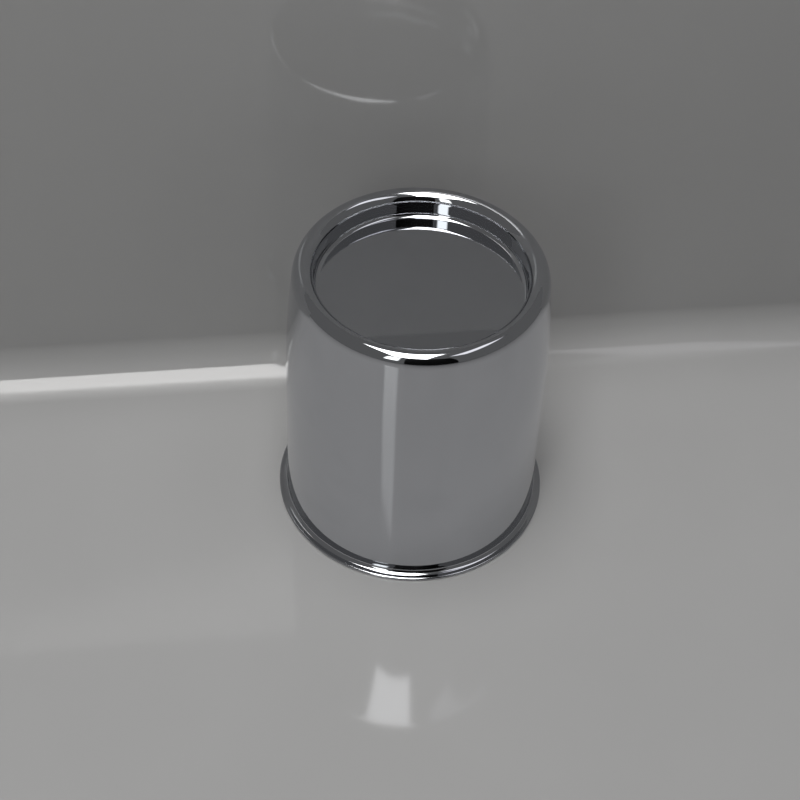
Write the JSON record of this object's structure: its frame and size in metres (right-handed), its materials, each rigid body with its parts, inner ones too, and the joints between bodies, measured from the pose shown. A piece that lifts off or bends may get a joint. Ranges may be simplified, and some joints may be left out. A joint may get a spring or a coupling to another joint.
{
  "type": "wheel center cap",
  "caption": "Push-through wheel center cap: a drawn chrome cup, open at the foot, with a narrow flange, a rolled rim and a shallow round recess in its closed end.",
  "frame": {"origin": "centre of the flange's rest face, on the cap's axis", "axes": "+Z along the axis from the open foot to the closed end; X and Y lie in the rest face"},
  "size_m": [0.0862, 0.0862, 0.0943],
  "materials": {
    "chrome": "bright chrome plate on drawn steel, mirror smooth outside, duller and faintly ringed from the draw inside"
  },
  "bodies": {
    "root": {"cap_shell": "chrome"}
  },
  "joints": []
}
